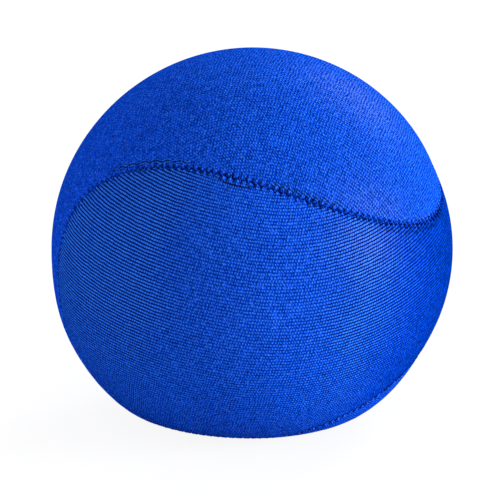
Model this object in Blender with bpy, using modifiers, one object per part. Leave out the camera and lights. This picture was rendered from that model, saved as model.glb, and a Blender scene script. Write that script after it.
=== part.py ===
"""Hand exercise ball: a soft gel core in a sealed bladder, inside a two-panel cover of stretch knit.

Units are metres and +Z is up. The ball stands on the plane z = 0, sagging a little under its own
weight, with the origin at the middle of its foot. The two cover panels are figure-of-eight cuts,
laid at right angles to each other as on a tennis ball, and sewn along one closed seam.
"""

import math

import bmesh
import bpy
import numpy as np
from mathutils import Euler, Matrix, Vector

# The ball as it stands
BALL_RADIUS = 0.035
FOOT_SAG = 0.005  # how far its own weight presses the bottom in
FOOT_SHOULDER = 0.003  # blend between the flat foot and the round sides
SIDE_BULGE = 0.00035  # how far the gel pushes the sides out above the foot
LEAN = 0.0005  # how far the gel slumps towards -X below the middle

# The cover
WAIST_WIDTH = 0.0231  # across a panel at its narrowest, were the two panels alike
SIDE_FULLNESS = 1.13  # how much wider than that the side panel is drawn
SEAM_SHIFT = 0.05  # how far the seam is drawn towards the top panel's waist, as a share of the radius
COVER_TILT = (math.radians(11.0), math.radians(5.1), math.radians(-3.7))  # how the cover lies
FABRIC = 0.0007
SEAM_GAP = 0.0005  # between the two rolled edges
ROLL_RADIUS = 0.0009  # of the right side of the cloth where it turns in at the seam
SEAM_ALLOWANCE = 0.005  # width of the turned-in edge that lies flat under the panel
SEAM_DRAW = 0.00025  # how deep the tight seam pulls into the ball
DRAW_WIDTH = 0.010  # how far from the seam that pull is gone

# The seam's threads
THREAD_DIAMETER = 0.00035
THREAD_DEPTH = 0.00055  # of the thread's middle below the crests of the rolled edges
CLOSING_MIDDLE = math.radians(43)  # seam parameter at the middle of the hand-sewn stretch
CLOSING_LENGTH = 0.040
CLOSING_STITCH = 0.0013
CLOSING_REACH = 0.00035  # how far each hand stitch reaches to either side of the seam line
CLOSING_DEPTH = 0.0002  # of the hand stitches' middle below the crests

# The bladder, its plug and the gel
COVER_GAP = 0.0006  # between the cloth and the bladder at the facets' corners, half that at their flats
LAYER_GAP = 0.0003  # between the bladder, its plug and the gel
BLADDER_WALL = 0.0015
CHANNEL_SLOPE = 0.008  # width over which the bladder rises from under the seam allowance
FILL_HOLE_RADIUS = 0.0025
PLUG_FLANGE_RADIUS = 0.004
PLUG_FLANGE = 0.001  # thickness of the plug's inner flange

# Facets
SEAM_STEPS = 30  # along half of the seam, from one lobe's tip to the other
CROWN_ROWS = 12  # across a panel
ROLL_STEPS = 3  # round a turned-in edge
BALL_SEGMENTS = 30
BALL_RINGS = 18
PLUG_STEPS = 24
TANGENT_STEP = 1e-4  # to either side of the point that a tangent is taken at

CENTRE_HEIGHT = BALL_RADIUS - FOOT_SAG
ROLL_MIDDLE = SEAM_GAP / 2 + ROLL_RADIUS  # from the seam line to the crest of a rolled edge
SEAM_SHARE = (1 - math.sin(WAIST_WIDTH / 2 / BALL_RADIUS)) / 2  # of the seam curve's third harmonic
COVER_TURN = np.array(Euler(COVER_TILT).to_matrix())
BLADDER_INSET = FABRIC + COVER_GAP
GEL_INSET = BLADDER_INSET + BLADDER_WALL + LAYER_GAP
FILL_SIDE = Vector((0, 1, 0))  # the plug's direction in the cover's frame: the middle of a rear lobe


def clear_scene():
    for obj in list(bpy.data.objects):
        bpy.data.objects.remove(obj)


def make_material(name, colour, roughness):
    material = bpy.data.materials.new(name)
    material.use_nodes = True
    shader = material.node_tree.nodes["Principled BSDF"]
    shader.inputs["Base Color"].default_value = (*colour, 1)
    shader.inputs["Roughness"].default_value = roughness
    shader.inputs["Metallic"].default_value = 0
    return material


def add_object(name, data, material, collection):
    obj = bpy.data.objects.new(name, data)
    obj.data.materials.append(material)
    collection.objects.link(obj)
    return obj


def mesh_from(bm, name):
    mesh = bpy.data.meshes.new(name)
    bm.to_mesh(mesh)
    bm.free()
    mesh.shade_smooth()
    return mesh


# The seam: a closed curve that splits the sphere into two figure-of-eight panels. In the cover's frame
# the side panel's waist is at +X, its lobes at +Y and -Y, and its spine in the plane z = 0. The top
# panel's waist is at -X, its lobes at +Z and -Z, and its spine in the plane y = 0.


def seam_directions(s):
    first, third = 1 - SEAM_SHARE, SEAM_SHARE
    x = 2 * math.sqrt(first * third) * np.cos(2 * s) - SEAM_SHIFT
    y = -first * np.sin(s) - third * np.sin(3 * s)
    z = SIDE_FULLNESS * (first * np.cos(s) - third * np.cos(3 * s))
    points = np.stack([x, y, z], axis=-1)
    return points / np.linalg.norm(points, axis=-1, keepdims=True)


def seam_tangents(s):
    ahead = seam_directions(s + TANGENT_STEP) - seam_directions(s - TANGENT_STEP)
    return ahead / np.linalg.norm(ahead, axis=-1, keepdims=True)


def beside_seam(s, distance):
    """Unit directions at this distance from the seam, on the side panel's side of it."""
    on_seam = seam_directions(s)
    inward = np.cross(on_seam, seam_tangents(s))
    angle = np.asarray(distance)[..., None] / BALL_RADIUS
    return on_seam * np.cos(angle) + inward * np.sin(angle)


def seam_distance(directions):
    """Distance along the surface from each direction to the nearest point of the seam."""
    fine = seam_directions(np.linspace(0, 2 * math.pi, 720, endpoint=False))
    return BALL_RADIUS * np.arccos(np.clip((directions @ fine.T).max(axis=1), -1, 1))


def seam_pull(distance):
    """How deep the tight seam pulls the ball's surface in at this distance from it."""
    return SEAM_DRAW * np.maximum(1 - (distance / DRAW_WIDTH) ** 2, 0) ** 2


def channel_depth(distance):
    """How much deeper the bladder lies under the folded edges at the seam than elsewhere."""
    start = ROLL_MIDDLE + SEAM_ALLOWANCE + ROLL_RADIUS
    rise = np.clip((distance - start) / CHANNEL_SLOPE, 0, 1)
    return (2 * ROLL_RADIUS - FABRIC) * (1 - rise * rise * (3 - 2 * rise))


# The ball's outer form, and the layers inside it


def smooth_max(a, b, blend):
    near = np.maximum(blend - np.abs(a - b), 0) / blend
    return np.maximum(a, b) + near**2 * blend / 4


def ball_points(cover_directions, inset, pull):
    """Points of the sagging ball along directions of the cover's frame, taken in by inset and pull.

    Only the inset moves the foot, which the table presses flat against the seam's pull.
    """
    directions = cover_directions @ COVER_TURN.T
    inset = np.broadcast_to(inset, directions.shape[:1])
    points = directions * (BALL_RADIUS - inset - pull)[:, None]
    depth = CENTRE_HEIGHT - inset
    height = smooth_max(points[:, 2], -depth, FOOT_SHOULDER)
    swell = np.sin(math.pi * np.clip(-height / depth, 0, 1)) ** 2
    sides = 1 + swell * SIDE_BULGE / BALL_RADIUS
    x = points[:, 0] * sides - LEAN * swell
    y = points[:, 1] * sides
    return np.stack([x, y, height + CENTRE_HEIGHT], axis=1)


def core_points(cover_directions, inset):
    """Points of a layer inside the cover, with the channel that the seam presses into it."""
    distance = seam_distance(cover_directions)
    return ball_points(cover_directions, inset + channel_depth(distance), seam_pull(distance))


# The cover panels


def edge_section():
    """(distance from the seam, depth) of the cloth's right side, from its cut edge up to the crest."""
    turns = np.linspace(math.pi, 0, ROLL_STEPS + 1)
    distance = ROLL_MIDDLE - ROLL_RADIUS * np.sin(turns)
    depth = ROLL_RADIUS * (1 - np.cos(turns))
    cut_edge = (ROLL_MIDDLE + SEAM_ALLOWANCE, 2 * ROLL_RADIUS)
    return np.array([cut_edge, *zip(distance, depth)])


def panel_grid(turn, first_tip, side):
    """Directions, insets and pulls of a panel's right side, as rows across it at steps along the seam.

    They are in the panel's own frame, from which turn brings them to the cover's. Its upper edge starts
    at its first tip, and side is 1 or -1 for the side of the seam that it is on.
    """
    s = first_tip + np.linspace(0, math.pi, SEAM_STEPS + 1)
    rows = []
    for distance, depth in edge_section():
        spread = np.full(s.shape, distance)
        rows.append((beside_seam(s, side * spread) @ turn, np.full(s.shape, depth), seam_pull(spread)))
    crest = rows[-1][0]
    latitude = np.arcsin(crest[:, 2])
    longitude = np.arctan2(crest[:, 1], crest[:, 0])
    mirrored = [(d * np.array([1, 1, -1]), inset, pull) for d, inset, pull in rows[::-1]]
    for step in range(1, CROWN_ROWS):
        across = latitude * (1 - 2 * step / CROWN_ROWS)
        round_x = np.cos(across) * np.cos(longitude)
        round_y = np.cos(across) * np.sin(longitude)
        directions = np.stack([round_x, round_y, np.sin(across)], axis=1)
        rows.append((directions, np.zeros(s.shape), seam_pull(seam_distance(directions @ turn.T))))
    rows += mirrored
    return [np.array(values) for values in zip(*rows)]


def add_panel(name, turn, first_tip, side, material, collection):
    """One cover panel: its crown, its rolled edges and the seam allowance turned in under them."""
    directions, insets, pulls = panel_grid(turn, first_tip, side)
    row_count, step_count = insets.shape
    points = ball_points((directions @ turn.T).reshape(-1, 3), insets.ravel(), pulls.ravel())
    points = points.reshape(row_count, step_count, 3)
    bm = bmesh.new()
    bmesh.ops.create_grid(bm, x_segments=step_count - 1, y_segments=row_count - 1, size=0.5)
    for vert in bm.verts:
        step = round((vert.co.x + 0.5) * (step_count - 1))
        row = round((vert.co.y + 0.5) * (row_count - 1))
        vert.co = points[row, step]
    bmesh.ops.remove_doubles(bm, verts=bm.verts, dist=1e-6)
    bm.normal_update()
    middle = Vector((0, 0, CENTRE_HEIGHT))
    if sum(face.normal.dot(face.calc_center_median() - middle) for face in bm.faces) < 0:
        bmesh.ops.reverse_faces(bm, faces=bm.faces)
    panel = add_object(name, mesh_from(bm, name), material, collection)
    cloth = panel.modifiers.new("cloth", "SOLIDIFY")
    cloth.thickness = FABRIC
    cloth.offset = -1
    cloth.use_even_offset = True
    return panel


# The threads


def thread_points(s, distance, inset):
    return ball_points(beside_seam(s, distance), inset, seam_pull(np.abs(distance)))


def add_thread(name, points, material, collection):
    curve = bpy.data.curves.new(name, "CURVE")
    curve.dimensions = "3D"
    curve.bevel_depth = THREAD_DIAMETER / 2
    curve.bevel_resolution = 1
    curve.use_fill_caps = True
    spline = curve.splines.new("POLY")
    spline.points.add(len(points) - 1)
    for spline_point, point in zip(spline.points, points):
        spline_point.co = (*point, 1)
    return add_object(name, curve, material, collection)


def closing_ends():
    """Seam parameters at the two ends of the hand-sewn stretch."""
    s = np.linspace(CLOSING_MIDDLE - 1, CLOSING_MIDDLE + 1, 2001)
    steps = np.linalg.norm(np.diff(seam_directions(s), axis=0), axis=1) * BALL_RADIUS
    along = np.concatenate([[0], np.cumsum(steps)])
    along -= np.interp(CLOSING_MIDDLE, s, along)
    return np.interp([-CLOSING_LENGTH / 2, CLOSING_LENGTH / 2], along, s)


def add_seam_thread(material, collection):
    """The machine stitching, a thread along the bottom of the seam's groove."""
    start, end = closing_ends()
    step = math.pi / SEAM_STEPS
    s = np.arange(math.ceil(end / step) * step, start + 2 * math.pi, step)
    points = thread_points(s, np.zeros(s.shape), THREAD_DEPTH)
    return add_thread("seam_thread", points, material, collection)


def add_closing_thread(material, collection):
    """The hand stitches over the gap that the filled bladder went in by."""
    start, end = closing_ends()
    stitches = round(CLOSING_LENGTH / CLOSING_STITCH)
    s = np.linspace(start, end, 2 * stitches + 1)
    sides = np.where(np.arange(len(s)) % 2 == 0, CLOSING_REACH, -CLOSING_REACH)
    points = thread_points(s, sides, CLOSING_DEPTH)
    return add_thread("closing_thread", points, material, collection)


# The bladder, its plug and the gel


def fill_frame():
    """The plug's frame: its origin on the bladder's outer face, its Z axis pointing out."""
    direction = np.array([FILL_SIDE])
    origin = Vector(core_points(direction, BLADDER_INSET)[0])
    axis = Vector(COVER_TURN @ np.array(FILL_SIDE))
    return Matrix.Translation(origin) @ axis.to_track_quat("Z", "Y").to_matrix().to_4x4()


def plug_length():
    """From the bladder's outer face to the far side of the flange, which clears the wall's curve."""
    outer_radius = BALL_RADIUS - BLADDER_INSET
    fall = outer_radius - math.sqrt(outer_radius**2 - PLUG_FLANGE_RADIUS**2)
    return BLADDER_WALL + LAYER_GAP + fall + PLUG_FLANGE


def round_directions(bm):
    """The vertices of a unit sphere as directions, with its pole at the plug and a ring at the hole's rim."""
    turn = FILL_SIDE.to_track_quat("Z", "Y").to_matrix()
    rim = math.asin(FILL_HOLE_RADIUS / (BALL_RADIUS - BLADDER_INSET))
    first_ring = math.pi / BALL_RINGS
    found = []
    for vert in bm.verts:
        polar = math.acos(max(-1, min(1, vert.co.z)))
        if polar > first_ring / 2:
            polar = rim + (polar - first_ring) * (math.pi - rim) / (math.pi - first_ring)
        flat = Vector((vert.co.x, vert.co.y, 0)).normalized() * math.sin(polar)
        found.append(turn @ Vector((flat.x, flat.y, math.cos(polar))))
    return np.array(found)


def add_bladder(material, collection):
    """The moulded skin that holds the gel, open at the hole that it is filled through."""
    bm = bmesh.new()
    bmesh.ops.create_uvsphere(bm, u_segments=BALL_SEGMENTS, v_segments=BALL_RINGS, radius=1)
    pole = max(bm.verts, key=lambda vert: vert.co.z)
    bmesh.ops.delete(bm, geom=[pole], context="VERTS")
    for vert, point in zip(bm.verts, core_points(round_directions(bm), BLADDER_INSET)):
        vert.co = point
    bladder = add_object("gel_bladder", mesh_from(bm, "gel_bladder"), material, collection)
    wall = bladder.modifiers.new("wall", "SOLIDIFY")
    wall.thickness = BLADDER_WALL
    wall.offset = -1
    return bladder


def add_plug(material, collection):
    """The plug pushed into the filling hole, held by the flange on its inner end."""
    stem = FILL_HOLE_RADIUS - LAYER_GAP
    bottom = -plug_length()
    shelf = bottom + PLUG_FLANGE
    neck = [(0, 0), (stem, 0), (stem, shelf)]
    flange = [(PLUG_FLANGE_RADIUS, shelf), (PLUG_FLANGE_RADIUS, bottom), (0, bottom)]
    profile = neck + flange
    mesh = bpy.data.meshes.new("fill_plug")
    edges = [(i, i + 1) for i in range(len(profile) - 1)]
    mesh.from_pydata([(radius, 0, height) for radius, height in profile], edges, [])
    plug = add_object("fill_plug", mesh, material, collection)
    plug.matrix_world = fill_frame()
    turned = plug.modifiers.new("turned", "SCREW")
    turned.steps = PLUG_STEPS
    turned.render_steps = PLUG_STEPS
    turned.use_merge_vertices = True
    turned.merge_threshold = 1e-5
    return plug


def add_core(material, collection, cutters):
    """The gel, with the dimple that the plug's flange leaves in it."""
    bm = bmesh.new()
    bmesh.ops.create_uvsphere(bm, u_segments=BALL_SEGMENTS, v_segments=BALL_RINGS, radius=1)
    for vert, point in zip(bm.verts, core_points(round_directions(bm), GEL_INSET)):
        vert.co = point
    core = add_object("gel_core", mesh_from(bm, "gel_core"), material, collection)
    depth = plug_length() + LAYER_GAP
    bm = bmesh.new()
    radius = PLUG_FLANGE_RADIUS + LAYER_GAP
    bmesh.ops.create_cone(
        bm, cap_ends=True, segments=PLUG_STEPS, radius1=radius, radius2=radius, depth=2 * depth
    )
    cutter = add_object("plug_dimple", mesh_from(bm, "plug_dimple"), material, cutters)
    cutter.matrix_world = fill_frame()
    cutter.hide_render = True
    cutter.display_type = "WIRE"
    dimple = core.modifiers.new("dimple", "BOOLEAN")
    dimple.operation = "DIFFERENCE"
    dimple.object = cutter
    return core


def main():
    clear_scene()
    parts = bpy.data.collections.new("hand_exercise_ball")
    cutters = bpy.data.collections.new("cutters")
    for collection in (parts, cutters):
        bpy.context.scene.collection.children.link(collection)
    knit = make_material("blue_stretch_knit", (0.008, 0.055, 0.5), 0.75)
    thread = make_material("blue_thread", (0.006, 0.045, 0.36), 0.6)
    rubber = make_material("pale_rubber", (0.75, 0.76, 0.72), 0.45)
    gel = make_material("clear_gel", (0.55, 0.68, 0.78), 0.2)
    add_core(gel, parts, cutters)
    add_bladder(rubber, parts)
    add_plug(rubber, parts)
    # The top panel's own frame is the side panel's, turned half round about the line between +Y and -Z.
    half_turn = np.array(Matrix.Rotation(math.pi, 3, Vector((0, 1, -1))))
    add_panel("side_cover_panel", np.eye(3), -math.pi / 2, 1, knit, parts)
    add_panel("top_cover_panel", half_turn, 0, -1, knit, parts)
    add_seam_thread(thread, parts)
    add_closing_thread(thread, parts)


main()
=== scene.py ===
"""Hand exercise ball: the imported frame, dressed as the photographed ball.

The sections follow the ball as it is put together: gel, bladder, plug, the two cover panels, the
stitches of the seam, and last the table, the light and the camera. Units are metres, +Z is up, and
the ball stands on z = 0.
"""

import math

import bmesh
import bpy
import numpy as np
from mathutils import Euler, Matrix, Vector
from mathutils.kdtree import KDTree


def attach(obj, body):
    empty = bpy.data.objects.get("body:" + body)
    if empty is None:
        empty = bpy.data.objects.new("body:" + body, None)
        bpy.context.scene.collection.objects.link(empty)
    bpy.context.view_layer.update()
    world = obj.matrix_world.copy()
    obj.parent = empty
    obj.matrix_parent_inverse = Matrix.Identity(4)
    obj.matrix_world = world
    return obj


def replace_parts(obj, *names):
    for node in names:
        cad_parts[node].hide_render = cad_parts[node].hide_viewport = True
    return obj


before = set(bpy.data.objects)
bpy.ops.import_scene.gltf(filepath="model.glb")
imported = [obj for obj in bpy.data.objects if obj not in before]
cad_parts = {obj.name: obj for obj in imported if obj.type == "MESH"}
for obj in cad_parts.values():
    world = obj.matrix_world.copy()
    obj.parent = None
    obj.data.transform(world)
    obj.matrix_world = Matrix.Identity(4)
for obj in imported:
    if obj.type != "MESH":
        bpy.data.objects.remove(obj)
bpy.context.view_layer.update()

# The gel core
# A soft clear gel, poured into the bladder through its filling hole, which gives the ball its squeeze.
# It sags flat where the ball stands, takes the channel that the cover's seam presses into the bladder,
# and keeps a dimple under the plug.

BALL_RADIUS = 0.035
FOOT_SAG = 0.005
CENTRE_HEIGHT = BALL_RADIUS - FOOT_SAG
FOOT_SHOULDER = 0.003
SIDE_BULGE = 0.00035
LEAN = 0.0005
SLUMP = 0.0042
COVER_TURN = np.array(Euler(np.radians((11.0, 5.1, -3.7))).to_matrix())
WAIST_WIDTH = 0.0231
SIDE_FULLNESS = 1.13
SEAM_SHIFT = 0.05
SEAM_SHARE = (1 - math.sin(WAIST_WIDTH / 2 / BALL_RADIUS)) / 2
SEAM_SAMPLES = 12000
FABRIC = 0.0007
SEAM_GAP = 0.0005
ROLL_RADIUS = 0.0009
ROLL_MIDDLE = SEAM_GAP / 2 + ROLL_RADIUS
SEAM_ALLOWANCE = 0.005
SEAM_DRAW = 0.00012
DRAW_WIDTH = 0.010
CHANNEL_SLOPE = 0.008
BLADDER_INSET = FABRIC + 0.0006
BLADDER_WALL = 0.0015
LAYER_GAP = 0.0003
GEL_INSET = BLADDER_INSET + BLADDER_WALL + LAYER_GAP
FILL_SIDE = np.array([0.0, 1.0, 0.0])
FILL_HOLE_RADIUS = 0.0025
PLUG_FLANGE_RADIUS = 0.004
PLUG_FLANGE = 0.001
DIMPLE_EDGE = 0.0008
GEL_SUBDIVISIONS = 6
GEL_SHADES = [(0.3, (0.42, 0.56, 0.68)), (0.7, (0.62, 0.74, 0.82))]
CLOUD_SCALE = 60
BUBBLE_SCALE = 500
BUBBLE_REACH = 0.25
BUBBLE_RISE = 0.00005
WELD_GAP = 1e-7


def seam_directions(s):
    """Unit directions of the seam, in the cover's frame: the side panel's waist is at +X."""
    first = 1 - SEAM_SHARE
    x = 2 * math.sqrt(first * SEAM_SHARE) * np.cos(2 * s) - SEAM_SHIFT
    y = -first * np.sin(s) - SEAM_SHARE * np.sin(3 * s)
    z = SIDE_FULLNESS * (first * np.cos(s) - SEAM_SHARE * np.cos(3 * s))
    points = np.stack([x, y, z], axis=-1)
    return points / np.linalg.norm(points, axis=-1, keepdims=True)


seam_turns = np.linspace(0, 2 * math.pi, SEAM_SAMPLES + 1)
seam_line = seam_directions(seam_turns)
seam_steps = np.linalg.norm(np.diff(seam_line, axis=0), axis=1) * BALL_RADIUS
seam_reach = np.concatenate([[0], np.cumsum(seam_steps)])
seam_length = seam_reach[-1]
seam_tree = KDTree(SEAM_SAMPLES)
for sample in range(SEAM_SAMPLES):
    seam_tree.insert(seam_line[sample], sample)
seam_tree.balance()


def seam_place(directions):
    """Distance from the seam and length along it, for each unit direction of the cover's frame."""
    nearest = np.array([seam_tree.find(direction)[1] for direction in directions])
    chord = np.linalg.norm(directions - seam_line[nearest], axis=1)
    return 2 * BALL_RADIUS * np.arcsin(np.clip(chord / 2, 0, 1)), seam_reach[nearest]


def seam_pull(distance):
    """How deep the tight seam draws the cover in at this distance from it."""
    return SEAM_DRAW * np.maximum(1 - (distance / DRAW_WIDTH) ** 2, 0) ** 2


def channel_depth(distance):
    """How much deeper the bladder lies under the folded edges of the seam than elsewhere."""
    rise = np.clip((distance - ROLL_MIDDLE - SEAM_ALLOWANCE - ROLL_RADIUS) / CHANNEL_SLOPE, 0, 1)
    return (2 * ROLL_RADIUS - FABRIC) * (1 - rise * rise * (3 - 2 * rise))


def ball_points(directions, inset, pull):
    """Points of the sagging ball along directions of the cover's frame, taken in by inset and pull.

    The gel leans and slumps a little to the left. Only the inset moves the foot up, which the table
    presses flat against the seam's pull.
    """
    inset = np.broadcast_to(inset, directions.shape[:1])
    points = directions @ COVER_TURN.T * (BALL_RADIUS - inset - pull)[:, None]
    floor = inset - CENTRE_HEIGHT
    near = np.maximum(FOOT_SHOULDER - np.abs(points[:, 2] - floor), 0) / FOOT_SHOULDER
    height = np.maximum(points[:, 2], floor) + near**2 * FOOT_SHOULDER / 4
    way_down = np.clip(height / floor, 0, 1)
    bulge = np.sin(math.pi * way_down) ** 2
    sides = 1 + bulge * SIDE_BULGE / BALL_RADIUS
    slump = SLUMP * way_down**4 * np.maximum(-points[:, 0], 0) / BALL_RADIUS
    x = points[:, 0] * sides - LEAN * bulge - slump
    return np.stack([x, points[:, 1] * sides, np.maximum(height + CENTRE_HEIGHT, 0)], axis=1)


def layer_points(directions, inset):
    """Points of a layer inside the cover, with the channel under the seam."""
    distance = seam_place(directions)[0]
    return ball_points(directions, inset + channel_depth(distance), seam_pull(distance))


fill_axis = Vector(COVER_TURN @ FILL_SIDE)
fill_origin = Vector(layer_points(FILL_SIDE[None], BLADDER_INSET)[0])
bladder_radius = BALL_RADIUS - BLADDER_INSET
plug_fall = bladder_radius - math.sqrt(bladder_radius**2 - PLUG_FLANGE_RADIUS**2)
plug_length = BLADDER_WALL + LAYER_GAP + plug_fall + PLUG_FLANGE


def add_piece(name, points, faces, finish):
    """A smooth piece of the ball from its points and faces, which rides on the root body."""
    mesh = bpy.data.meshes.new(name)
    mesh.from_pydata(np.asarray(points).tolist(), [], np.asarray(faces).tolist())
    mesh.shade_smooth()
    mesh.materials.append(finish)
    piece = bpy.data.objects.new(name, mesh)
    bpy.context.scene.collection.objects.link(piece)
    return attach(piece, "root")


def weld(mesh):
    """Joins the points that fall together and turns every face outwards."""
    bm = bmesh.new()
    bm.from_mesh(mesh)
    bmesh.ops.remove_doubles(bm, verts=bm.verts, dist=WELD_GAP)
    bmesh.ops.recalc_face_normals(bm, faces=bm.faces)
    bm.to_mesh(mesh)
    bm.free()


class Wire:
    """One output of a finish's nodes. Arithmetic on wires adds Math nodes."""

    def __init__(self, tree, socket=None):
        self.tree = tree
        self.socket = socket

    def node(self, kind, settings=None, sockets=None, output=0):
        """Adds a node of this kind, set up and fed as given, and returns one of its outputs."""
        made = self.tree.nodes.new("ShaderNode" + kind)
        for name, value in (settings or {}).items():
            if name == "stops":
                while len(made.color_ramp.elements) < len(value):
                    made.color_ramp.elements.new(1)
                for element, (place, colour) in zip(made.color_ramp.elements, value):
                    element.position = place
                    element.color = (*colour, 1)
            else:
                setattr(made, name, value)
        for name, value in (sockets or {}).items():
            self.feed(made.inputs[name], value)
        return Wire(self.tree, made.outputs[output])

    def feed(self, socket, value):
        if isinstance(value, Wire):
            self.tree.links.new(value.socket, socket)
        else:
            socket.default_value = value

    def other(self, output):
        """Another output of the same node."""
        return Wire(self.tree, self.socket.node.outputs[output])

    def maths(self, operation, *values):
        return self.node("Math", {"operation": operation}, dict(enumerate(values)))

    def __add__(self, value):
        return self.maths("ADD", self, value)

    def __sub__(self, value):
        return self.maths("SUBTRACT", self, value)

    def __rsub__(self, value):
        return self.maths("SUBTRACT", value, self)

    def __mul__(self, value):
        return self.maths("MULTIPLY", self, value)

    __radd__ = __add__
    __rmul__ = __mul__

    def clamped(self, low, high):
        """This value's place between low and high, from 0 to 1."""
        return self.node("MapRange", {"clamp": True}, {"Value": self, "From Min": low, "From Max": high})

    def wave(self):
        """The cosine of this many whole turns."""
        return self.maths("COSINE", self * (2 * math.pi))

    def bell(self, middle, width):
        """1 at the middle, falling away to about a third at this width from it."""
        off = (self - middle) * (1 / width)
        return self.maths("EXPONENT", off * off * -1)

    def noise(self, scale, detail=2.0):
        return self.node("TexNoise", {}, {"Vector": self, "Scale": scale, "Detail": detail})


def new_finish(name, constants):
    """A material, its shader with what is the same all over set on it, and a wire to start from."""
    finish = bpy.data.materials.new(name)
    finish.use_nodes = True
    shader = finish.node_tree.nodes["Principled BSDF"]
    for socket, value in constants.items():
        shader.inputs[socket].default_value = value
    return finish, shader, Wire(finish.node_tree)


clear_gel, shader, start = new_finish(
    "clear_gel",
    {"Transmission Weight": 0.6, "IOR": 1.41, "Specular IOR Level": 0.5},
)
place = start.node("TexCoord", output="Object")
clouds = place.noise(CLOUD_SCALE)
bubbles = start.node("TexVoronoi", {}, {"Vector": place, "Scale": BUBBLE_SCALE}, "Distance")
bubble_rims = bubbles.clamped(0, BUBBLE_REACH)
start.feed(shader.inputs["Base Color"], start.node("ValToRGB", {"stops": GEL_SHADES}, {"Fac": clouds}))
start.feed(shader.inputs["Roughness"], clouds * 0.1 + 0.12)
start.feed(
    shader.inputs["Normal"],
    start.node("Bump", {}, {"Height": bubble_rims, "Strength": 0.3, "Distance": BUBBLE_RISE}),
)

bm = bmesh.new()
bmesh.ops.create_icosphere(bm, subdivisions=GEL_SUBDIVISIONS, radius=1)
gel_directions = np.array([vert.co for vert in bm.verts])
gel_faces = np.array([[vert.index for vert in face.verts] for face in bm.faces])
bm.free()
gel_points = layer_points(gel_directions, GEL_INSET)
from_plug = gel_points - np.array(fill_origin)
along_plug = from_plug @ np.array(fill_axis)
off_plug = np.linalg.norm(from_plug - along_plug[:, None] * np.array(fill_axis), axis=1)
dimple_rise = np.maximum(off_plug - PLUG_FLANGE_RADIUS - LAYER_GAP, 0) / DIMPLE_EDGE
dimple = np.maximum(along_plug + plug_length + LAYER_GAP - dimple_rise * plug_length, 0)
dimple[along_plug < -BALL_RADIUS] = 0
gel_points -= dimple[:, None] * np.array(fill_axis)
gel = add_piece("gel_filling", gel_points, gel_faces, clear_gel)
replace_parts(gel, "gel_core")

# The bladder
# A skin of pale rubber, sealed round the gel. It is dipped over a round former, so it is the same
# thickness all over, with a rounded lip at the one hole that it is filled through.

BLADDER_SPOKES = 160
BLADDER_RINGS = 90
LIP_STEPS = 5
LIP_ROUND = 0.0001
RUBBER_SHADES = [(0.3, (0.66, 0.66, 0.6)), (0.7, (0.78, 0.79, 0.75))]
BLUSH_SCALE = 90
GRAIN_SCALE = 2200
GRAIN_RISE = 0.00003


def turned_faces(rings, spokes):
    """Quads between rings of points, each ring closed on itself."""
    ring, spoke = np.meshgrid(np.arange(rings - 1), np.arange(spokes), indexing="ij")
    after = (spoke + 1) % spokes
    near = ring * spokes
    far = near + spokes
    return np.stack([near + spoke, near + after, far + after, far + spoke], axis=-1).reshape(-1, 4)


pale_rubber, shader, start = new_finish("pale_rubber", {"Specular IOR Level": 0.4, "Coat Roughness": 0.5})
place = start.node("TexCoord", output="Object")
blush = place.noise(BLUSH_SCALE)
grain = place.noise(GRAIN_SCALE, 3.0)
start.feed(shader.inputs["Base Color"], start.node("ValToRGB", {"stops": RUBBER_SHADES}, {"Fac": blush}))
start.feed(shader.inputs["Roughness"], grain * 0.2 + 0.36)
start.feed(
    shader.inputs["Normal"],
    start.node("Bump", {}, {"Height": grain, "Strength": 0.35, "Distance": GRAIN_RISE}),
)

rim = math.asin(FILL_HOLE_RADIUS / bladder_radius)
far_rings = np.linspace(rim, math.pi, BLADDER_RINGS)
lip = np.linspace(-math.pi / 2, math.pi / 2, LIP_STEPS)
lip_middle = BLADDER_WALL / 2
polar = np.concatenate([far_rings[::-1], rim - np.cos(lip) * LIP_ROUND / BALL_RADIUS, far_rings])
wall_depth = np.concatenate(
    [np.zeros(BLADDER_RINGS), lip_middle + np.sin(lip) * lip_middle, np.full(BLADDER_RINGS, BLADDER_WALL)]
)
spokes = np.linspace(0, 2 * math.pi, BLADDER_SPOKES, endpoint=False)
fill_turn = np.array(Vector(FILL_SIDE).to_track_quat("Z", "Y").to_matrix())
ring_polar, ring_spoke = (grid.ravel() for grid in np.meshgrid(polar, spokes, indexing="ij"))
round_x = np.sin(ring_polar) * np.cos(ring_spoke)
round_y = np.sin(ring_polar) * np.sin(ring_spoke)
bladder_directions = np.stack([round_x, round_y, np.cos(ring_polar)], axis=1) @ fill_turn.T
bladder_points = layer_points(bladder_directions, BLADDER_INSET + np.repeat(wall_depth, BLADDER_SPOKES))
bladder = add_piece("rubber_bladder", bladder_points, turned_faces(len(polar), BLADDER_SPOKES), pale_rubber)
weld(bladder.data)
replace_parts(bladder, "gel_bladder")

# The fill plug
# A turned rubber plug, pushed into the filling hole once the gel is in. Its flange sits inside the wall
# and the gel presses it shut, so nothing stands proud under the cover.

PLUG_SPOKES = 64
PLUG_ROUND = 0.00025
ROUND_STEPS = 5


def rounded_corner(radius, height, turn):
    """Profile points of a rounded outer corner, which starts at this turn."""
    turns = turn - np.linspace(0, math.pi / 2, ROUND_STEPS)
    middle = np.array([radius - PLUG_ROUND, height - math.copysign(PLUG_ROUND, math.sin(turn - math.pi / 4))])
    return middle + PLUG_ROUND * np.stack([np.cos(turns), np.sin(turns)], axis=1)


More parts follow.
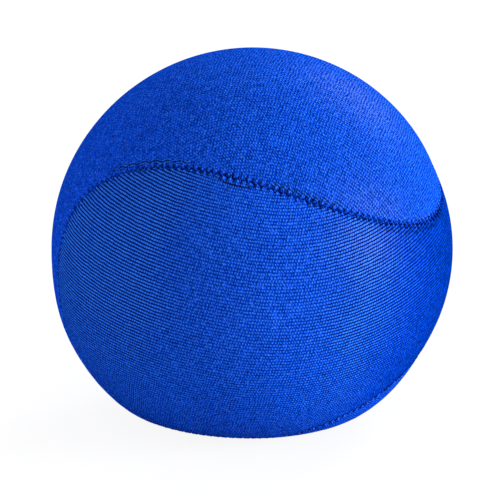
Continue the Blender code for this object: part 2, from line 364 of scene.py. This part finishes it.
stem_radius = FILL_HOLE_RADIUS - LAYER_GAP
plug_shelf = PLUG_FLANGE - plug_length
plug_profile = np.concatenate(
    [
        [[0, 0]],
        rounded_corner(stem_radius, 0, math.pi / 2),
        [[stem_radius, plug_shelf]],
        rounded_corner(PLUG_FLANGE_RADIUS, plug_shelf, math.pi / 2),
        rounded_corner(PLUG_FLANGE_RADIUS, -plug_length, 0),
        [[0, -plug_length]],
    ]
)
plug_turns = np.linspace(0, 2 * math.pi, PLUG_SPOKES, endpoint=False)
plug_x = np.outer(plug_profile[:, 0], np.cos(plug_turns)).ravel()
plug_y = np.outer(plug_profile[:, 0], np.sin(plug_turns)).ravel()
plug_z = np.repeat(plug_profile[:, 1], PLUG_SPOKES)
plug_turn = np.array(fill_axis.to_track_quat("Z", "Y").to_matrix())
plug_points = np.stack([plug_x, plug_y, plug_z], axis=1) @ plug_turn.T + np.array(fill_origin)
plug = add_piece("rubber_plug", plug_points, turned_faces(len(plug_profile), PLUG_SPOKES), pale_rubber)
weld(plug.data)
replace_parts(plug, "fill_plug")

# The cover as a sewn bag
# The two panels are sewn into one tight bag over the gel. Its swell is found by simulation: cloth under
# the gel's pressure, held along the seam's thread and where the table presses on the foot. The bag is
# simulated many times life size, since the cloth's stiffness is set for things a metre or so across.

BAG_START = 0.00012
BAG_SWELL = 0.0004
BAG_FRAMES = 20
BAG_PRESSURE = 4
BAG_SCALE = 30
HELD_BESIDE_SEAM = 0.0018
FOOT_HELD = 0.0015
BAG_SUBDIVISIONS = 5
BAG_NEIGHBOURS = 6
NEAR_BLEND = 1e-4

bm = bmesh.new()
bmesh.ops.create_icosphere(bm, subdivisions=BAG_SUBDIVISIONS, radius=1)
bag_directions = np.array([vert.co for vert in bm.verts])
bag_distance = seam_place(bag_directions)[0]
bag_start_points = ball_points(bag_directions, 0, BAG_START + seam_pull(bag_distance))
for vert, point in zip(bm.verts, bag_start_points):
    vert.co = point * BAG_SCALE
bag_mesh = bpy.data.meshes.new("sewn_bag")
bm.to_mesh(bag_mesh)
bm.free()


def swell_by_cloth():
    """How far each point of the bag moves outwards under the gel's pressure."""
    bag = bpy.data.objects.new("sewn_bag", bag_mesh)
    bpy.context.scene.collection.objects.link(bag)
    held = bag.vertex_groups.new(name="held")
    at_foot = bag_start_points[:, 2] < FOOT_HELD
    held.add(np.flatnonzero((bag_distance < HELD_BESIDE_SEAM) | at_foot).tolist(), 1, "REPLACE")
    cloth = bag.modifiers.new("gel_pressure", "CLOTH")
    cloth.point_cache.frame_end = BAG_FRAMES
    cloth.settings.use_pressure = True
    cloth.settings.uniform_pressure_force = BAG_PRESSURE
    cloth.settings.effector_weights.gravity = 0
    cloth.settings.vertex_group_mass = held.name
    cloth.collision_settings.use_collision = False
    for step in range(1, BAG_FRAMES + 1):
        bpy.context.scene.frame_set(step)
    graph = bpy.context.evaluated_depsgraph_get()
    moved = np.empty(len(bag_mesh.vertices) * 3, np.float32)
    bag.evaluated_get(graph).data.vertices.foreach_get("co", moved)
    bpy.context.scene.frame_set(1)
    bpy.data.objects.remove(bag)
    move = moved.reshape(-1, 3) / BAG_SCALE - bag_start_points
    return np.clip((move * (bag_directions @ COVER_TURN.T)).sum(axis=1), 0, BAG_SWELL)


bag_swell = swell_by_cloth()
bpy.data.meshes.remove(bag_mesh)
bag_tree = KDTree(len(bag_directions))
for index, direction in enumerate(bag_directions):
    bag_tree.insert(direction, index)
bag_tree.balance()


def swell(directions):
    """The bag's swell along each direction, blended from the nearest points of the simulation."""
    found = [bag_tree.find_n(direction, BAG_NEIGHBOURS) for direction in directions]
    index = np.array([[near[1] for near in row] for row in found])
    gap = np.array([[near[2] for near in row] for row in found])
    weight = 1 / (gap**2 + NEAR_BLEND)
    return (bag_swell[index] * weight).sum(axis=1) / weight.sum(axis=1)


# The side cover panel
# A figure-of-eight cut of blue stretch knit, drawn tight round the front, right and back of the ball.
# Its edge turns in under it along the seam, and each stitch pinches the rolled edge into a small pit.

SEAM_STEPS = 1000
ALLOWANCE_STEPS = 2
ROLL_STEPS = 8
CROWN_ROWS = 58
UNDER_ROLL_STEPS = 4
UNDER_CROWN_ROWS = 12
EDGE_CROWDING = 0.65
TANGENT_STEP = 1e-4
EDGE_RADIUS = 0.00075
EDGE_GAP = 0.00004
EDGE_MIDDLE = EDGE_GAP / 2 + EDGE_RADIUS
EDGE_SQUARENESS = 0.6
STITCH = 0.00122
STITCH_SLANT = 0.4
STITCH_PINCH = 0.00034
STITCH_PRESS = 0.0003
PRESS_MIDDLE = 0.0003
PRESS_REACH = 0.0007
KNUCKLE = 0.3
MILLIMETRE = 0.001
# Of the knit, whose columns and rows are in radians
KNIT_ROW = 0.0168
KNIT_LEAN = math.tan(math.radians(7))
KNIT_SPREAD = 0.7
KNIT_ARCH = 0.25
# Of the knit's finish
LOOSE_TURN = math.radians(3)
TAUT_RANGE = (-0.6, -0.15)
PATCH_SCALE = 140
PATCH_WEIGHT = 0.5
SLIP_SCALE = 500
COLUMN_SLIP = 1.3
ROW_SLIP = 0.45
STITCH_SLIP = 0.6
GROOVE_SHARPNESS = 2.8
FUZZ_SCALE = 3000
MOTTLE_SCALE = 90
MOTTLE_WEIGHT = 0.1
LOOP_VARIETY = 0.16
FLATTENING = 0.8
MEAN_LOFT = 0.55
MEAN_YARN = 0.53
YARN_RISE = 0.00035
YARN_GLOSS = 0.33
KNIT_SHADES = [
    # Painted shade: the darkest stop, for the grooves between the rows and the pits.
    (0.0, (0.0002, 0.009, 0.07)),
    (0.3, (0.0004, 0.034, 0.37)),
    (0.6, (0.0012, 0.071, 0.76)),
    # Partly painted highlight: the palest stop, reached only by the brightest yarn.
    (1.0, (0.018, 0.2, 1.0)),
]
# Of the pits and folds along the edge, in millimetres from the seam
PIT_MIDDLE = 0.25
PIT_LEAN = 0.3
PAINTED_DEPTH_SHADE = 0.62
GATHER_DEPTH = 0.7
LIP_START = 0.3
LIP_REACH = 1.1
LIP_WIDTH = 0.18
CUP_START = 0.9
CUP_REACH = 0.7
CUP_WIDTH = 0.2
CUP_DEPTH = 0.6
TICK_MIDDLE = 1.2
TICK_WIDTH = 0.8
TICK_LEAN = 0.5
TICK_DEPTH = 1.2
# Of the panel's own cut: the gathered stretches of its edge, in degrees, and its knit
SIDE_STRETCHES = ((42.8, 49.6, 1), (5, 23, -1), (140, 176, -2))
SIDE_GRAIN = (0.064, 0.104, 0.993)
SIDE_COLUMN = 0.0141
# Of the map for the panels' textures
MAP_MARGIN = 0.005
MAP_EDGE = 0.05
RIGHT_BAND = 0.42
RIGHT_LOBE_STEP = 0.44
WRONG_START = 0.90
WRONG_BAND = 0.045
WRONG_LOBE_STEP = 0.05

stitch_count = round(seam_length / STITCH)
stitch_pitch = seam_length / stitch_count


def stitch_pinch(along, lag):
    """How hard the thread pulls at this length along the seam, from 0 between stitches to 1."""
    return np.cos(math.pi * (along / stitch_pitch - lag)) ** 2


def gathered_edge(along, stretches):
    """How a panel's edge is gathered: stretches, given by their turns, each with a height that fades out."""
    gathered = np.zeros(along.shape)
    for start_degrees, end_degrees, height in stretches:
        ends = np.interp(np.radians([start_degrees, end_degrees]), seam_turns, seam_reach)
        share = np.clip((along - ends[0]) / (ends[1] - ends[0]), 0, 1)
        gathered += height * np.sin(math.pi * share)
    return gathered


def bell(value, middle, width):
    return np.exp(-(((value - middle) / width) ** 2))


def beside_seam(s, distance):
    """Unit directions at this distance from the seam, on the side panel's side of it."""
    tangent = seam_directions(s + TANGENT_STEP) - seam_directions(s - TANGENT_STEP)
    tangent /= np.linalg.norm(tangent, axis=-1, keepdims=True)
    on_seam = seam_directions(s)
    angle = (np.asarray(distance) / BALL_RADIUS)[..., None]
    return on_seam * np.cos(angle) + np.cross(on_seam, tangent) * np.sin(angle)


def panel_side(panel_cut, lag, stretches, under, allowance_steps, roll_steps, crown_rows):
    """Points, knit and seam coordinates and row places of one face of the cloth, in rows edge to edge."""
    turn, first_tip, side, grain = panel_cut
    s = first_tip + np.linspace(0, math.pi, SEAM_STEPS + 1)
    far_s = 2 * first_tip - s
    along = np.interp(s % (2 * math.pi), seam_turns, seam_reach)
    far_along = np.interp(far_s % (2 * math.pi), seam_turns, seam_reach)
    radius = EDGE_RADIUS - under
    turns = np.linspace(math.pi, 0, roll_steps + 1)
    flat = np.linspace(EDGE_MIDDLE + SEAM_ALLOWANCE, EDGE_MIDDLE, allowance_steps, endpoint=False)
    roll_out = radius * np.clip(np.sin(turns), 0, 1) ** EDGE_SQUARENESS
    roll_up = radius * np.sign(np.cos(turns)) * np.abs(np.cos(turns)) ** EDGE_SQUARENESS
    edge_distance = np.concatenate([flat, EDGE_MIDDLE - roll_out])
    edge_depth = np.concatenate([np.full(flat.shape, EDGE_RADIUS + radius), EDGE_RADIUS - roll_up])
    edge_pinch = STITCH_PINCH * np.concatenate([np.zeros(flat.shape), np.maximum(np.sin(2 * turns), 0)])
    upper = []
    lower = []
    for distance, pinch in zip(edge_distance, edge_pinch):
        upper.append(beside_seam(s, side * (distance + pinch * stitch_pinch(along, lag))) @ turn)
        lower.append(beside_seam(far_s, side * (distance + pinch * stitch_pinch(far_along, lag))) @ turn)
    crest = upper[-1]
    latitude = np.arcsin(crest[:, 2])
    longitude = np.arctan2(crest[:, 1], crest[:, 0])
    even = np.linspace(0, 1, crown_rows + 1)[1:-1]
    shares = even * (1 - EDGE_CROWDING) + EDGE_CROWDING * (1 - np.cos(math.pi * even)) / 2
    crown = []
    for share in shares:
        across = latitude * (1 - 2 * share)
        reach = np.cos(across)
        crown.append(np.stack([reach * np.cos(longitude), reach * np.sin(longitude), np.sin(across)], axis=1))
    own = np.array(upper + crown + lower[::-1]).reshape(-1, 3)
    directions = own @ turn.T
    distance, along = seam_place(directions)
    row_depths = np.concatenate([edge_depth, np.full(len(crown), under), edge_depth[::-1]])
    depths = np.repeat(row_depths, SEAM_STEPS + 1)
    on_top = np.clip(1 - depths / (2 * EDGE_RADIUS), 0, 1)
    press = (stitch_pinch(along, lag) - KNUCKLE) * bell(distance, PRESS_MIDDLE, PRESS_REACH)
    pull = seam_pull(distance) + BAG_START - swell(directions) + STITCH_PRESS * press * on_top
    laid = own @ np.array(Vector(grain).rotation_difference(Vector((0, 0, 1))).to_matrix()).T
    rise = np.arcsin(np.clip(laid[:, 2], -1, 1))
    round_way = np.arctan2(laid[:, 1], laid[:, 0])
    spread_way = round_way - (np.cos(rise) ** KNIT_SPREAD - 1) * np.sin(2 * round_way) / 2
    arched = rise - KNIT_ARCH * np.maximum(np.cos(round_way), 0) ** 2
    knit = np.stack([spread_way - KNIT_LEAN * rise, arched, round_way], axis=1)
    gathered = gathered_edge(along, stretches)
    stitches = (along - seam_length / 2) % seam_length / stitch_pitch - lag
    beside = np.stack([distance / MILLIMETRE, stitches, gathered], axis=1)
    edge_places = np.concatenate([np.zeros(len(flat)), np.linspace(0, MAP_EDGE, len(turns))])
    crown_places = MAP_EDGE + (1 - 2 * MAP_EDGE) * shares
    places = np.concatenate([edge_places, crown_places, 1 - edge_places[::-1]])
    return ball_points(directions, depths, pull), knit, beside, places


def keep_vectors(mesh, name, vectors):
    """Keeps a vector on each point of a mesh, for its finish to read."""
    mesh.attributes.new(name, "FLOAT_VECTOR", "POINT").data.foreach_set("vector", vectors.ravel())


def lay_out(mesh, right_places, wrong_places):
    """A map for the panel's textures: one lobe above the other, with little room for the wrong side."""
    right_bands = MAP_MARGIN + RIGHT_BAND * right_places
    bands = np.concatenate([right_bands, WRONG_START + WRONG_BAND * wrong_places])
    row = np.repeat(np.arange(len(bands)), SEAM_STEPS + 1)
    step = np.tile(np.arange(SEAM_STEPS + 1), len(bands))
    corner = np.empty(len(mesh.loops), np.int32)
    mesh.loops.foreach_get("vertex_index", corner)
    corner_row = row[corner]
    corner_step = step[corner].reshape(-1, 4)
    half = SEAM_STEPS // 2
    second_lobe = np.repeat(corner_step.min(axis=1) >= half, 4)
    lobe_step = np.where(corner_row < len(right_places), RIGHT_LOBE_STEP, WRONG_LOBE_STEP)
    along = (corner_step.ravel() - half * second_lobe) / half
    across = bands[corner_row] + lobe_step * second_lobe
    spots = np.stack([MAP_MARGIN + (1 - 2 * MAP_MARGIN) * along, across], axis=1)
    mesh.uv_layers.new(name="OFBake").uv.foreach_set("vector", spots.astype(np.float32).ravel())


def add_panel(name, node, panel_cut, lag, stretches, knit_column, finish):
    """One cover panel as a closed sheet: its right side, its wrong side and the two cut edges."""
    right = panel_side(panel_cut, lag, stretches, 0, ALLOWANCE_STEPS, ROLL_STEPS, CROWN_ROWS)
    wrong = panel_side(panel_cut, lag, stretches, FABRIC, 1, UNDER_ROLL_STEPS, UNDER_CROWN_ROWS)
    right_rows = len(right[-1])
    wrong_rows = len(wrong[-1])
    order = [*range(right_rows), *range(right_rows + wrong_rows - 1, right_rows - 1, -1), 0]
    row = np.array(order) * (SEAM_STEPS + 1)
    step = np.arange(SEAM_STEPS)
    first, second = row[:-1, None] + step, row[1:, None] + step
    faces = np.stack([first, first + 1, second + 1, second], axis=-1).reshape(-1, 4)
    panel = add_piece(name, np.concatenate([right[0], wrong[0]]), faces, finish)
    keep_vectors(panel.data, "knit", np.concatenate([right[1], wrong[1]]) / [knit_column, KNIT_ROW, 1])
    keep_vectors(panel.data, "seam", np.concatenate([right[2], wrong[2]]))
    lay_out(panel.data, right[-1], wrong[-1])
    weld(panel.data)
    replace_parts(panel, node)


def side_gathers(distance, stitches, gathered):
    """Depth of the side panel's edge folds, by the height of its gathering, for their bump and their painted
    shade.

    At 1 it is a slack lip by the closing stitches, at -1 cups at the right, and at -2 ticks low down.
    """
    lip = gathered.clamped(0, 1)
    lip_line = lip.maths("SQRT", lip) * LIP_REACH + LIP_START
    slack = distance.bell(lip_line, LIP_WIDTH) * gathered.clamped(0, 0.25)
    cup_wave = stitches.maths("SINE", stitches * (math.pi / 2))
    cup_line = stitches.maths("ABSOLUTE", cup_wave) * CUP_REACH + CUP_START
    ticked = gathered.clamped(-1.0, -1.5)
    cups = distance.bell(cup_line, CUP_WIDTH) * gathered.clamped(0, -0.3) * (1 - ticked) * CUP_DEPTH
    tick_waves = (stitches - distance * TICK_LEAN).wave().clamped(-0.2, 0.6)
    ticks = tick_waves * distance.bell(TICK_MIDDLE, TICK_WIDTH) * ticked * TICK_DEPTH
    return slack + cups + ticks


def kept_parts(start, name):
    """The first part of the vectors that a piece keeps, with the other parts on the same node."""
    vector = start.node("Attribute", {"attribute_name": name}, output="Vector")
    return start.node("SeparateXYZ", {}, {0: vector})


def knit_finish(name, ropes, rope_rows, flats, painted_waist_shade, pit_reach, gathers):
    """Blue stretch knit, by what sets the two panels apart.

    ropes is how far its rows stand out as ropes where it is slack and where it is taut, and rope_rows the
    rows over which they rise. flats is where it lies flat round the panel's waist, and the next argument is
    how much darker painted shade makes it there. pit_reach is how far the stitches' pits reach from the seam,
    in millimetres, and gathers draws the folds of the edge, whose depth is both bump and painted shade.
    """
    finish, shader, start = new_finish(name, {"Specular IOR Level": 0.0, "Coat Roughness": 0.45})
    place = start.node("TexCoord", output="Object")
    knit = kept_parts(start, "knit")
    lie = ((knit.other("Z") - LOOSE_TURN) * (1 / math.pi)).wave()
    flat = (knit.other("Z") * (0.5 / math.pi)).wave().clamped(*flats)
    slip = start.node("SeparateXYZ", {}, {0: place.noise(SLIP_SCALE, 1.0).other("Color")})
    column = knit + (slip - 0.5) * COLUMN_SLIP
    row = knit.other("Y") + (slip.other("Y") - 0.5) * ROW_SLIP
    patches = place.noise(PATCH_SCALE, 1.0)
    taut = (lie + patches * PATCH_WEIGHT).clamped(*TAUT_RANGE) * knit.other("Y").clamped(*rope_rows)
    roping = ropes[0] + (ropes[1] - ropes[0]) * taut
    # The yarn value gives the knit's relief and also painted shade: its grooves between rows and gaps between
    # loops darken the colour, more deeply where roping is high.
    groove = row.maths("POWER", 0.5 - row.wave() * 0.5, GROOVE_SHARPNESS)
    loop = column.wave() * 0.5 + 0.5
    dash = (column + row).wave() * 0.5 + 0.5
    rope = (1 - groove) * (loop * 0.35 + 0.65)
    loft = rope * roping + (loop * dash * 0.9 + 0.3) * (1 - roping)
    loop_number = start.node("CombineXYZ", {}, {0: column.maths("ROUND", column), 1: row.maths("ROUND", row)})
    slack = start.node("TexWhiteNoise", {}, {"Vector": loop_number})
    fuzz = place.noise(FUZZ_SCALE, 0.0)
    mottle = place.noise(MOTTLE_SCALE)
    relief = (loft - MEAN_LOFT) * (1 - flat * FLATTENING) * (roping * 0.7 + 0.65)
    # The brightest specks of the fuzz are painted glints on the yarn; the rest is the fibres' random tone.
    fibres_and_painted_glints = (fuzz - 0.5) * (0.8 - roping * 0.45) + fuzz.clamped(0.6, 0.8) * 0.1
    # Painted shade: the knit is darkened round the panel's waist, which on the side panel is the ball's right
    # side.
    yarn = relief + fibres_and_painted_glints + (slack - 0.5) * LOOP_VARIETY - flat * painted_waist_shade + MEAN_YARN

    seam = kept_parts(start, "seam")
    stitches = seam.other("Y") + (slip.other("Z") - 0.5) * STITCH_SLIP
    stitch_number = stitches.maths("ROUND", stitches)
    tension = start.node("TexWhiteNoise", {"noise_dimensions": "1D"}, {"W": stitch_number})
    # Painted shade and highlight: the colour darkens in the stitches' pits and in the folds of the edge, by
    # their depth, and lightens on the knuckles between the pits.
    pinch = ((stitches + seam * seam * PIT_LEAN).wave() * 0.5 + 0.5) * (tension * 0.5 + 0.5)
    pits = (pinch - KNUCKLE) * seam.bell(PIT_MIDDLE, pit_reach)
    depth = pits + gathers(seam, stitches, seam.other("Z")) * GATHER_DEPTH
    shade = yarn + (mottle - 0.5) * MOTTLE_WEIGHT - depth * PAINTED_DEPTH_SHADE
    start.feed(shader.inputs["Base Color"], start.node("ValToRGB", {"stops": KNIT_SHADES}, {"Fac": shade}))
    start.feed(shader.inputs["Roughness"], 0.55 - 0.2 * yarn.clamped(0.2, 1))
    facing = 1 - start.node("LayerWeight", {}, {"Blend": 0.5}, "Facing")
    start.feed(shader.inputs["Coat Weight"], yarn.clamped(0.3, 0.9) * facing * YARN_GLOSS)
    start.feed(
        shader.inputs["Normal"],
        start.node("Bump", {}, {"Height": yarn - depth, "Strength": 1.0, "Distance": YARN_RISE}),
    )
    return finish


side_knit = knit_finish(
    "blue_side_knit",
    ropes=(0.3, 0.95),
    rope_rows=(-42, -6),
    flats=(0.6, 1.0),
    # painted shade on the ball's right side, round this panel's waist
    painted_waist_shade=0.36,
    pit_reach=0.65,
    gathers=side_gathers,
)
side_cut = (np.eye(3), -math.pi / 2, 1, SIDE_GRAIN)
add_panel("side_cover", "side_cover_panel", side_cut, 0.0, SIDE_STRETCHES, SIDE_COLUMN, side_knit)

# The top cover panel
# The second panel, cut a little slimmer, whose lobes close over the first panel's waist. It covers the
# top, the left and the foot, and its knit is drawn wider, so that its rows hardly show.

FOLDS_PER_MILLIMETRE = 1.9
FOLD_WIDTH = 0.45
ARC_MIDDLE = 1.0
ARC_WAVER = 0.3
SLIP_MIDDLE = 0.85
TOP_STRETCHES = ((52.5, 71, 1), (28, 42, -1))
TOP_GRAIN = (0, 0, 1)
TOP_COLUMN = 0.0157


def top_gathers(distance, stitches, gathered):
    """Folds of the top panel's edge, as depth for the bump and the painted shade: arcs where the seam turns,
    and slips by the closing stitches.
    """
    arc_waves = (distance * FOLDS_PER_MILLIMETRE + (stitches * 0.5).wave() * ARC_WAVER).wave()
    arcs = arc_waves * distance.bell(ARC_MIDDLE, FOLD_WIDTH) * gathered.clamped(0, 0.5)
    slip_waves = (distance * FOLDS_PER_MILLIMETRE - stitches).wave()
    slips = slip_waves * distance.bell(SLIP_MIDDLE, FOLD_WIDTH) * gathered.clamped(0, -0.5)
    return arcs + slips


half_turn = np.array(Matrix.Rotation(math.pi, 3, Vector((0, 1, -1))))
top_knit = knit_finish(
    "blue_top_knit",
    ropes=(0.1, 0.3),
    rope_rows=(-200, -100),  # below its last row, so that they don't fade
    flats=(0.1, 0.8),
    # a little painted shade round this panel's waist
    painted_waist_shade=0.06,
    pit_reach=0.45,
    gathers=top_gathers,
)
top_cut = (half_turn, 0, -1, TOP_GRAIN)
add_panel("top_cover", "top_cover_panel", top_cut, STITCH_SLANT, TOP_STRETCHES, TOP_COLUMN, top_knit)

# The machine stitches
# A blue thread, whipped round the two rolled edges all along the seam but for the closing stretch. Each
# stitch slants across the groove, dives through both folds and comes back under them.

THREAD_RADIUS = 0.00013
THREAD_SIDES = 8
STITCH_POINTS = 14
STITCH_REACH = 0.00042
STITCH_TOP = 0.00042
STITCH_DIVE = 0.0011
CLOSING_MIDDLE = math.radians(43)
CLOSING_LENGTH = 0.040
THREAD_TWIST = 0.0011
THREAD_PLIES = 2
THREAD_SHADES = [(0.1, (0.002, 0.03, 0.3)), (0.9, (0.012, 0.1, 0.75))]
LINT_SCALE = 3000
PLY_RISE = 0.00005


def whip_points(along, pitch, reach, first_along):
    """The line of a thread that winds round the seam, at these lengths along it."""
    turn = 2 * math.pi * (along - first_along) / pitch
    lean = along + pitch * (0.5 - STITCH_SLANT) / 2 * np.sin(turn)
    s = np.interp(lean % seam_length, seam_reach, seam_turns)
    distance = reach * np.cos(turn)
    depth = (STITCH_DIVE + STITCH_TOP) / 2 - (STITCH_DIVE - STITCH_TOP) / 2 * np.sin(turn)
    directions = beside_seam(s, distance)
    settle = BAG_START - swell(directions)
    return ball_points(directions, depth, seam_pull(np.abs(distance)) + settle)


def add_thread(name, node, line, finish):
    """A round thread along this line, closed at both ends, with its twist kept for the finish."""
    way = np.gradient(line, axis=0)
    way /= np.linalg.norm(way, axis=1, keepdims=True)
    across = np.cross(way, line - np.array([0, 0, CENTRE_HEIGHT]))
    across /= np.linalg.norm(across, axis=1, keepdims=True)
    up = np.cross(across, way)
    turns = np.linspace(0, 2 * math.pi, THREAD_SIDES, endpoint=False)
    rings = across[:, None] * np.cos(turns)[:, None] + up[:, None] * np.sin(turns)[:, None]
    points = (line[:, None] + THREAD_RADIUS * rings).reshape(-1, 3)
    faces = turned_faces(len(line), THREAD_SIDES).tolist()
    last = len(points) - THREAD_SIDES
    faces += [list(range(THREAD_SIDES))[::-1], list(range(last, len(points)))]
    mesh = bpy.data.meshes.new(name)
    mesh.from_pydata(points.tolist(), [], faces)
    mesh.shade_smooth()
    mesh.materials.append(finish)
    length = np.concatenate([[0], np.cumsum(np.linalg.norm(np.diff(line, axis=0), axis=1))])
    round_way = np.tile(turns / (2 * math.pi), len(line))
    twists = np.repeat(length, THREAD_SIDES) / THREAD_TWIST
    keep_vectors(mesh, "twist", np.stack([twists, round_way, np.zeros(len(twists))], axis=1))
    thread = bpy.data.objects.new(name, mesh)
    bpy.context.scene.collection.objects.link(thread)
    weld(mesh)
    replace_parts(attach(thread, "root"), node)


sewing_thread, shader, start = new_finish("blue_thread", {"Specular IOR Level": 0.08})
twist = kept_parts(start, "twist")
ply = (twist * THREAD_PLIES + twist.other("Y") * THREAD_PLIES).wave() * 0.5 + 0.5
lint = start.node("TexCoord", output="Object").noise(LINT_SCALE)
thread_blue = start.node("ValToRGB", {"stops": THREAD_SHADES}, {"Fac": ply * 0.7 + lint * 0.3})
start.feed(shader.inputs["Base Color"], thread_blue)
start.feed(shader.inputs["Roughness"], 0.7 - 0.2 * ply)
start.feed(
    shader.inputs["Normal"],
    start.node("Bump", {}, {"Height": ply, "Strength": 0.7, "Distance": PLY_RISE}),
)

closing_middle = np.interp(CLOSING_MIDDLE, seam_turns, seam_reach)
closing_start = closing_middle - CLOSING_LENGTH / 2
closing_end = closing_middle + CLOSING_LENGTH / 2
machine_stitches = math.floor((seam_length - CLOSING_LENGTH) / stitch_pitch)
machine_turns = np.linspace(0, machine_stitches, machine_stitches * STITCH_POINTS + 1)
machine_line = whip_points(closing_end + machine_turns * stitch_pitch, stitch_pitch, STITCH_REACH, 0)
add_thread("machine_stitches", "seam_thread", machine_line, sewing_thread)

# The closing stitches
# The last stretch of the seam, sewn by hand once the filled bladder is in. The same thread, in longer
# and looser stitches.

CLOSING_STITCH = 0.0016
CLOSING_REACH = 0.0005

closing_stitches = round(CLOSING_LENGTH / CLOSING_STITCH)
closing_along = np.linspace(closing_start, closing_end, closing_stitches * STITCH_POINTS + 1)
closing_line = whip_points(closing_along, CLOSING_LENGTH / closing_stitches, CLOSING_REACH, closing_start)
add_thread("hand_stitches", "closing_thread", closing_line, sewing_thread)

# The table, the light and the camera
# A plain white table under soft light: an even white room, a large lamp low at the right and a smaller
# one behind at the right. The camera stands far off, a little above the ball.

TABLE_HALF = 3.0
TABLE_WHITE = (0.92, 0.92, 0.92, 1)
TABLE_GLOW = 1.03
TABLE_SHADOW = 0.12
CAMERA_RISE = math.radians(18)
CAMERA_DISTANCE = 50 * BALL_RADIUS
PICTURE_PIXELS = 500
BALL_PIXELS = 200.0
BALL_MIDDLE = (252.2, 247.7)
SENSOR = 36.0
PLAIN_WHITE = (1, 1, 1, 1)
ROOM_LIGHT = 0.78
KEY_PLACE = (1.23, -0.27, 0.3)
KEY_SIZE = 0.6
KEY_POWER = 19.0
RIM_PLACE = (0.6, 1.08, 0.54)
RIM_SIZE = 0.5
RIM_POWER = 13.0


def seen_directly(wire):
    """1 for the rays that show the background itself: from the camera, in a gloss or through glass."""
    path = wire.node("LightPath")
    shown = path.other("Is Camera Ray") + path.other("Is Glossy Ray") + path.other("Is Transmission Ray")
    return shown.clamped(0, 1)


table_mesh = bpy.data.meshes.new("table")
table_corners = [(x * TABLE_HALF, y * TABLE_HALF, 0) for x, y in ((-1, -1), (1, -1), (1, 1), (-1, 1))]
table_mesh.from_pydata(table_corners, [], [(0, 1, 2, 3)])
table = bpy.data.objects.new("table", table_mesh)
bpy.context.scene.collection.objects.link(table)
table_white = bpy.data.materials.new("table_white")
table_white.use_nodes = True
table_white.node_tree.nodes.clear()
start = Wire(table_white.node_tree)
matt = start.node("BsdfDiffuse", {}, {"Color": TABLE_WHITE})
glow = start.node("Emission", {}, {"Color": PLAIN_WHITE, "Strength": TABLE_GLOW})
surface = start.node("MixShader", {}, {0: seen_directly(start) * (1 - TABLE_SHADOW), 1: matt, 2: glow})
output = table_white.node_tree.nodes.new("ShaderNodeOutputMaterial")
start.feed(output.inputs["Surface"], surface)
table_mesh.materials.append(table_white)

room = bpy.data.worlds.new("white_room")
bpy.context.scene.world = room
room.use_nodes = True
start = Wire(room.node_tree)
room_strength = ROOM_LIGHT + (1 - ROOM_LIGHT) * seen_directly(start)
start.feed(room.node_tree.nodes["Background"].inputs["Strength"], room_strength)
start.feed(room.node_tree.nodes["Background"].inputs["Color"], PLAIN_WHITE)


def add_lamp(name, place, size, power):
    """A square soft lamp at this place, turned to the middle of the ball."""
    light = bpy.data.lights.new(name, "AREA")
    light.size = size
    light.energy = power
    lamp = bpy.data.objects.new(name, light)
    lamp.location = place
    lamp.rotation_euler = (Vector(place) - ball_middle).to_track_quat("Z", "Y").to_euler()
    bpy.context.scene.collection.objects.link(lamp)


ball_middle = Vector((0, 0, CENTRE_HEIGHT))
add_lamp("key_lamp", KEY_PLACE, KEY_SIZE, KEY_POWER)
add_lamp("rim_lamp", RIM_PLACE, RIM_SIZE, RIM_POWER)

pixel = BALL_RADIUS / BALL_PIXELS
camera_data = bpy.data.cameras.new("camera")
camera_data.sensor_width = SENSOR
camera_data.lens = SENSOR * CAMERA_DISTANCE / (PICTURE_PIXELS * pixel)
camera = bpy.data.objects.new("camera", camera_data)
back = Vector((0, -math.cos(CAMERA_RISE), math.sin(CAMERA_RISE)))
picture_up = Vector((0, math.sin(CAMERA_RISE), math.cos(CAMERA_RISE)))
right_shift = (PICTURE_PIXELS / 2 - BALL_MIDDLE[0]) * pixel
up_shift = (BALL_MIDDLE[1] - PICTURE_PIXELS / 2) * pixel
camera.location = ball_middle + back * CAMERA_DISTANCE + Vector((right_shift, 0, 0)) + picture_up * up_shift
camera.rotation_euler = back.to_track_quat("Z", "Y").to_euler()
bpy.context.scene.collection.objects.link(camera)
bpy.context.scene.camera = camera
bpy.context.scene.view_settings.view_transform = "Standard"
